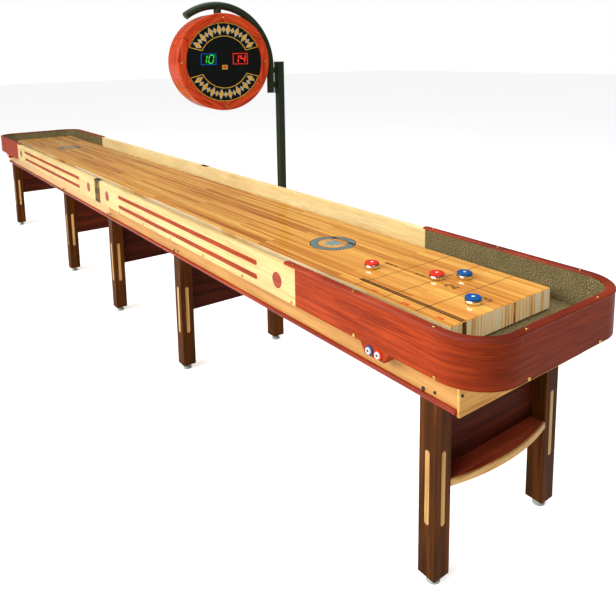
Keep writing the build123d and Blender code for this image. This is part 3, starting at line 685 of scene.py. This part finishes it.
def ring_inlays():
    """A plain rosette near each end: a pale ring with dark edges and blocks round a star."""
    for end, end_name in ((-1, "left"), (1, "right")):
        place = Matrix.Translation((end * (play_end - ring_inset), table_y, play_top))
        pale = bmesh.new()
        add_ring(pale, ring_radius * 0.70, ring_radius, 0, ink)
        petals = 8
        for index in range(petals):
            middle = 360 / petals * index
            tip = arc_points(ring_radius * 0.62, middle, middle, 1)[0]
            flank = arc_points(ring_radius * 0.24, middle - 22, middle + 22, 1)
            add_slab(pale, [(0, 0), flank[0], tip, flank[1]], 0, ink)
        piece(f"ring_inlay_{end_name}", pale, ring_pale, "table", place)
        dark = bmesh.new()
        for inner, outer in ((0.96, 1.02), (0.67, 0.72)):
            add_ring(dark, ring_radius * inner, ring_radius * outer, 0, 2 * ink)
        blocks = 36
        for index in range(blocks):
            start = 360 / blocks * index
            add_ring(dark, ring_radius * 0.77, ring_radius * 0.91, 0, 2 * ink, start, start + 4, 2)
        piece(f"ring_inlay_blocks_{end_name}", dark, ring_dark, "table", place)


playfield_lines()
playfield_stripes()
playfield_numerals()
centre_marks()
ring_inlays()


# ---- pucks ----
def pucks():
    """Each puck is a turned chrome weight under a coloured cap with a small white centre."""
    seat = puck_height - puck_cap_height
    dish = puck_height - puck_cap_dish
    weight_profile = [
        (0, 0),
        (puck_radius - 5 * mm, 0),
        (puck_radius - 1.2 * mm, 4.5 * mm),
        (puck_radius, 7 * mm),
        (puck_radius, seat - 3 * mm),
        (puck_radius - 3 * mm, seat),
        (0, seat),
    ]
    cap_profile = [
        (0, seat),
        (puck_cap_radius - 2 * mm, seat),
        (puck_cap_radius, seat + 2 * mm),
        (puck_cap_radius, puck_height - 3 * mm),
        (puck_cap_radius - 3 * mm, puck_height),
        (puck_cap_radius * 0.5, puck_height),
        (puck_cap_radius * 0.44, dish),
        (0, dish),
    ]
    centre_profile = [
        (0, dish),
        (6 * mm, dish),
        (5.6 * mm, puck_height - 0.3 * mm),
        (0, puck_height - 0.2 * mm),
    ]
    for name in ("puck_red_1", "puck_red_2", "puck_blue_1", "puck_blue_2"):
        low, high = (Vector(corner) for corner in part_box(name))
        place = Matrix.Translation(((low.x + high.x) / 2, (low.y + high.y) / 2, low.z))
        cap_material = red_gloss if "red" in name else blue_gloss
        layers = (
            ("weight", weight_profile, chrome),
            ("cap", cap_profile, cap_material),
            ("centre", centre_profile, white_gloss),
        )
        for layer, profile, material in layers:
            shape = rounded(profile, 1.4 * mm)
            made = turned(f"{name}_{layer}", shape, material, name + "_body", place)
            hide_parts(name)


pucks()


# ---- buttons ----
def button_trim():
    """Coloured collars of the four push buttons, and their white caps dished round a dark eye painted in as
    the dish's shade.
    """
    for name in ("button_blue_left", "button_red_left", "button_blue_right", "button_red_right"):
        low, high = (Vector(corner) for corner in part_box(name))
        radius = (high.x - low.x) / 2
        length = high.y - low.y
        centre = Vector(((low.x + high.x) / 2, low.y, (low.z + high.z) / 2))
        outward = Matrix.Translation(centre) @ Matrix.Rotation(radians(90), 4, "X")
        cap_profile = [
            (0, -length),
            (radius, -length),
            (radius, -button_eye_depth),
            (radius * 0.8, 0),
            (radius * 0.55, -0.2 * mm),
            (radius * 0.45, -button_eye_depth),
            (0, -button_eye_depth),
        ]
        # Painted shade: the dark eye stands in for the shadow inside the cap's dish.
        painted_shade_eye_profile = [
            (0, -button_eye_depth),
            (radius * 0.46, -button_eye_depth),
            (radius * 0.36, -1.2 * mm),
            (0, -0.8 * mm),
        ]
        body = name + "_body"
        for part, profile, material in (("cap", cap_profile, white_gloss), ("eye", painted_shade_eye_profile, painted_shade_gloss)):
            made = turned(f"{name}_{part}", rounded(profile, 1.2 * mm), material, body, outward)
            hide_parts(name)
        collar_low, collar_high = (Vector(corner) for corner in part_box("button_collars"))
        collar_radius = (collar_high.z - collar_low.z) / 2
        collar_bore = radius + collar_gap
        back, front = low.y - collar_high.y, low.y - collar_low.y
        collar_profile = [
            (collar_bore, back),
            (collar_radius, back),
            (collar_radius, front),
            (collar_bore, front),
            (collar_bore, back),
        ]
        collar_material = blue_gloss if "blue" in name else red_gloss
        collar_name = name.replace("button", "collar")
        collar = turned(collar_name, rounded(collar_profile, 1.2 * mm), collar_material, "table", outward)
        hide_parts("button_collars")


button_trim()


# ---- score head ----
def face_frame(side):
    """The frame of one dial: own X to the viewer's right, own Y up, own Z out of the dial."""
    outward = head_turn + (0 if side > 0 else pi)
    x_axis = Vector((-sin(outward), cos(outward), 0))
    z_axis = Vector((cos(outward), sin(outward), 0))
    y_axis = Vector((0, 0, 1))
    place = Matrix((x_axis, y_axis, z_axis)).transposed().to_4x4()
    return Matrix.Translation(head_centre) @ place


def add_lozenge(mesh, radius, angle, reach, half_angle, low, high):
    """Adds a lozenge standing across a circle, its long axis along the radius."""
    sides = ((radius - reach, angle), (radius, angle - half_angle))
    sides += ((radius + reach, angle), (radius, angle + half_angle))
    add_slab(mesh, [arc_points(distance, turn, turn, 1)[0] for distance, turn in sides], low, high)


def add_band_end(mesh, outer_angle, inner_angle, low, high):
    """Adds the gold line that closes one end of a band, a little wider at its inner end."""
    points = arc_points(band_outer_radius, outer_angle - 0.55, outer_angle + 0.55, 1)
    points += arc_points(band_inner_radius, inner_angle + 0.85, inner_angle - 0.85, 1)
    add_slab(mesh, points, low, high)


def dial_bands(side, side_name):
    """Gold borders of the two bands, and a row of gold lozenges edged in pale blue inside each."""
    place = face_frame(side)
    low, high = dial_front, dial_front + band_rise
    outer, inner, flare = band_outer_radius, band_inner_radius, band_flare
    middle_radius = (outer + inner) / 2
    borders = bmesh.new()
    edging = bmesh.new()
    for start in band_starts:
        end = start + band_sweep
        add_ring(borders, outer - band_line, outer, low, high, start, end, 64)
        add_ring(borders, inner, inner + band_line, low, high, start + flare, end - flare, 48)
        add_band_end(borders, start, start + flare, low, high)
        add_band_end(borders, end, end - flare, low, high)
        for index in range(band_lozenges):
            angle = start + 2 * flare + (band_sweep - 4 * flare) * index / (band_lozenges - 1)
            tall = index % 2 == 0
            reach, half_angle = (27 * mm, 4.0) if tall else (14 * mm, 2.8)
            add_lozenge(edging, middle_radius, angle, reach + 3 * mm, half_angle + 0.8, low, high)
            add_lozenge(borders, middle_radius, angle, reach, half_angle, low, high + 0.2 * mm)
    piece("dial_bands_" + side_name, borders, gold, "score_head", place)
    piece("dial_band_edging_" + side_name, edging, pale_blue, "score_head", place)


def add_frame(mesh, centre, size, line, low, high):
    """Adds a rectangular frame lying just inside a size."""
    x, y = centre
    half_x, half_y = size[0] / 2, size[1] / 2
    for sign in (-1, 1):
        edge = sorted((sign * half_x, sign * (half_x - line)))
        add_slab(mesh, rectangle(x + edge[0], x + edge[1], y - half_y, y + half_y), low, high)
        edge = sorted((sign * half_y, sign * (half_y - line)))
        add_slab(mesh, rectangle(x - half_x + line, x + half_x - line, y + edge[0], y + edge[1]), low, high)


# A figure's segments: a top, b and c right, d bottom, e and f left, g middle.
segments_of = {"0": "abcdef", "1": "bc", "4": "bcfg"}


def add_figure(mesh, figure, centre, size, low, high):
    """Adds a slanted seven-segment figure."""
    width, height = size
    line = width * 0.22
    x, y = centre
    spots = {
        "a": (0, height / 2, 0),
        "d": (0, -height / 2, 0),
        "g": (0, 0, 0),
        "b": (width / 2, height / 4, 1),
        "c": (width / 2, -height / 4, 1),
        "e": (-width / 2, -height / 4, 1),
        "f": (-width / 2, height / 4, 1),
    }
    for segment in segments_of[figure]:
        spot_x, spot_y, upright = spots[segment]
        half = (height / 2 if upright else width) / 2 - line * 0.2
        bar = [(-half, 0), (-half + line / 2, -line / 2), (half - line / 2, -line / 2)]
        bar += [(half, 0), (half - line / 2, line / 2), (-half + line / 2, line / 2)]
        if upright:
            bar = [(-along_y, along_x) for along_x, along_y in bar]
        outline = []
        for bar_x, bar_y in bar:
            point_y = spot_y + bar_y
            outline.append((x + spot_x + bar_x + figure_slant * point_y, y + point_y))
        add_slab(mesh, outline, low, high)


def dial_display(side, side_name, window, frame_material, figure_material, figures):
    """One digit window: a coloured frame round two lit figures."""
    centre = (window * window_offset, window_rise)
    low = dial_front
    frame_mesh = bmesh.new()
    add_frame(frame_mesh, centre, window_size, window_line, low, low + frame_rise)
    name = "window_left" if window < 0 else "window_right"
    piece(f"{name}_frame_{side_name}", frame_mesh, frame_material, "score_head", face_frame(side))
    figure_mesh = bmesh.new()
    for index, figure in enumerate(figures):
        figure_centre = (centre[0] + figure_pitch * index - figure_lead, centre[1])
        add_figure(figure_mesh, figure, figure_centre, figure_size, low, low + 0.4 * mm)
    piece(f"{name}_figures_{side_name}", figure_mesh, figure_material, "score_head", face_frame(side))


def dial_sensor(side, side_name):
    """The small gold window with a red lens between the digits."""
    mesh = bmesh.new()
    add_frame(mesh, (0, -sensor_drop), sensor_size, sensor_line, dial_front, dial_front + frame_rise)
    piece("sensor_frame_" + side_name, mesh, gold, "score_head", face_frame(side))
    lens = bmesh.new()
    half_x, half_y = lens_half_size
    outline = rectangle(-half_x, half_x, -sensor_drop - half_y, -sensor_drop + half_y)
    add_slab(lens, outline, dial_front, dial_front + mm)
    piece("sensor_lens_" + side_name, lens, red_gloss, "score_head", face_frame(side))


def face_screws(side, side_name):
    """Brass screws at the top, bottom, left and right of the face ring."""
    head = [(0, 0), (5.5 * mm, 0), (5 * mm, 1.2 * mm), (3 * mm, 2.4 * mm), (0, 2.8 * mm)]
    for number in range(4):
        angle = number * pi / 2
        spot = (face_screw_radius * cos(angle), face_screw_radius * sin(angle), head_half_depth)
        place = face_frame(side) @ Matrix.Translation(spot)
        turned(f"face_screw_{number + 1}_{side_name}", head, brass, "score_head", place, 24)


for side, side_name in ((1, "right"), (-1, "left")):
    dial_bands(side, side_name)
    dial_display(side, side_name, -1, blue_gloss, lit_green, "10")
    dial_display(side, side_name, 1, red_gloss, lit_red, "14")
    dial_sensor(side, side_name)
    face_screws(side, side_name)


# ---- joint plates ----
def add_line(curve, places, closed=False):
    """Adds a line through places to a curve, open or closed."""
    spline = curve.splines.new("POLY")
    spline.points.add(len(places) - 1)
    spline.use_cyclic_u = closed
    for point, place in zip(spline.points, places):
        point.co = (*place, 1)


def scroll_line(column, row):
    """One scroll, winding inwards in the quarter of the plate given by two signs."""
    places = []
    for step in range(scroll_point_count):
        part = step / (scroll_point_count - 1)
        angle = part * scroll_turn
        radius = scroll_radius - scroll_shrink * part
        x = column * (scroll_centre[0] + radius * cos(angle) * scroll_stretch[0])
        z = row * (scroll_centre[1] + radius * sin(angle) * scroll_stretch[1])
        places.append((x, 0, z))
    return places


def plate_scrolls():
    """Raised scrollwork and a raised border on both joint plates."""
    low, high = (Vector(corner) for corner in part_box("joint_plates"))
    half_width, half_height = (length / 2 - plate_border_inset for length in plate_size)
    border = rectangle(-half_width, half_width, -half_height, half_height)
    for side, side_name in ((-1, "near"), (1, "far")):
        face_y = low.y if side < 0 else high.y
        data = bpy.data.curves.new("scrolls_" + side_name, "CURVE")
        data.dimensions = "3D"
        data.bevel_depth = scroll_wire
        data.bevel_resolution = 2
        for row in (-1, 1):
            for column in (-1, 1):
                add_line(data, scroll_line(column, row))
        add_line(data, [(x, 0, z) for x, z in border], closed=True)
        curve = bpy.data.objects.new("scroll_curve", data)
        bpy.context.scene.collection.objects.link(curve)
        bpy.context.view_layer.update()
        mesh = bmesh.new()
        mesh.from_mesh(bpy.data.meshes.new_from_object(curve))
        bpy.data.objects.remove(curve)
        place = Matrix.Translation((0, face_y, (low.z + high.z) / 2))
        piece("plate_scrolls_" + side_name, mesh, brass, "table", place, smooth=True)


plate_scrolls()


# ---- studio ----
def studio_floor():
    """A wide pale floor that glows a little where the camera sees it."""
    mesh = bmesh.new()
    size = floor_half_size
    add_slab(mesh, rectangle(-size, size, -size, size), -0.02, 0)
    bmesh.ops.recalc_face_normals(mesh, faces=mesh.faces)
    data = bpy.data.meshes.new("floor")
    mesh.to_mesh(data)
    mesh.free()
    floor_paint = Nodes("studio_floor", 0.9, Specular_IOR_Level=0.0, Emission_Color=(1, 1, 1, 1))
    patch = floor_paint.noise(0.6, floor_paint.place((1, 1, 1)), 2)
    tone = floor_paint.ramp(patch, (0.3, (0.90, 0.90, 0.90, 1)), (0.7, (0.93, 0.93, 0.93, 1)))
    floor_paint.link(tone, "Base Color")
    seen = floor_paint.add("LightPath").outputs["Is Camera Ray"]
    floor_paint.link(floor_paint.math("MULTIPLY", seen, 0.6), "Emission Strength")
    data.materials.append(floor_paint.material)
    floor = bpy.data.objects.new("floor", data)
    bpy.context.scene.collection.objects.link(floor)


def studio_world():
    """A white world, full to the camera, dimmer as light and dimmest in reflections."""
    world = bpy.data.worlds.new("studio")
    world.use_nodes = True
    tree = world.node_tree
    background = tree.nodes["Background"]
    background.inputs["Color"].default_value = (1, 1, 1, 1)
    path = tree.nodes.new("ShaderNodeLightPath")
    dimmed = tree.nodes.new("ShaderNodeMapRange")
    dimmed.inputs["To Min"].default_value = 0.36
    dimmed.inputs["To Max"].default_value = 0.12
    tree.links.new(path.outputs["Is Glossy Ray"], dimmed.inputs["Value"])
    strength = tree.nodes.new("ShaderNodeMath")
    strength.operation = "MAXIMUM"
    tree.links.new(path.outputs["Is Camera Ray"], strength.inputs[0])
    tree.links.new(dimmed.outputs["Result"], strength.inputs[1])
    tree.links.new(strength.outputs["Value"], background.inputs["Strength"])
    bpy.context.scene.world = world


def studio_lamps():
    """Soft area lamps that the camera doesn't see; only some show in reflections."""
    for name, place, target, size, power in lamps:
        light = bpy.data.lights.new(name, "AREA")
        light.shape = "RECTANGLE"
        light.size, light.size_y = size
        light.energy = power
        lamp = bpy.data.objects.new(name, light)
        lamp.location = place
        lamp.visible_camera = False
        lamp.visible_glossy = name in reflected_lamps
        lamp.rotation_euler = (Vector(target) - Vector(place)).to_track_quat("-Z", "Y").to_euler()
        bpy.context.scene.collection.objects.link(lamp)


def studio_camera():
    """The camera, shifted so that the table fills the picture."""
    camera_data = bpy.data.cameras.new("camera")
    camera_data.sensor_width = 36
    camera_data.lens = camera_lens
    camera_data.shift_y = camera_shift
    camera = bpy.data.objects.new("camera", camera_data)
    camera.location = camera_place
    camera.rotation_euler = [radians(angle) for angle in camera_degrees]
    bpy.context.scene.collection.objects.link(camera)
    bpy.context.scene.camera = camera
    bpy.context.scene.view_settings.view_transform = "Standard"


studio_floor()
studio_world()
studio_lamps()
studio_camera()
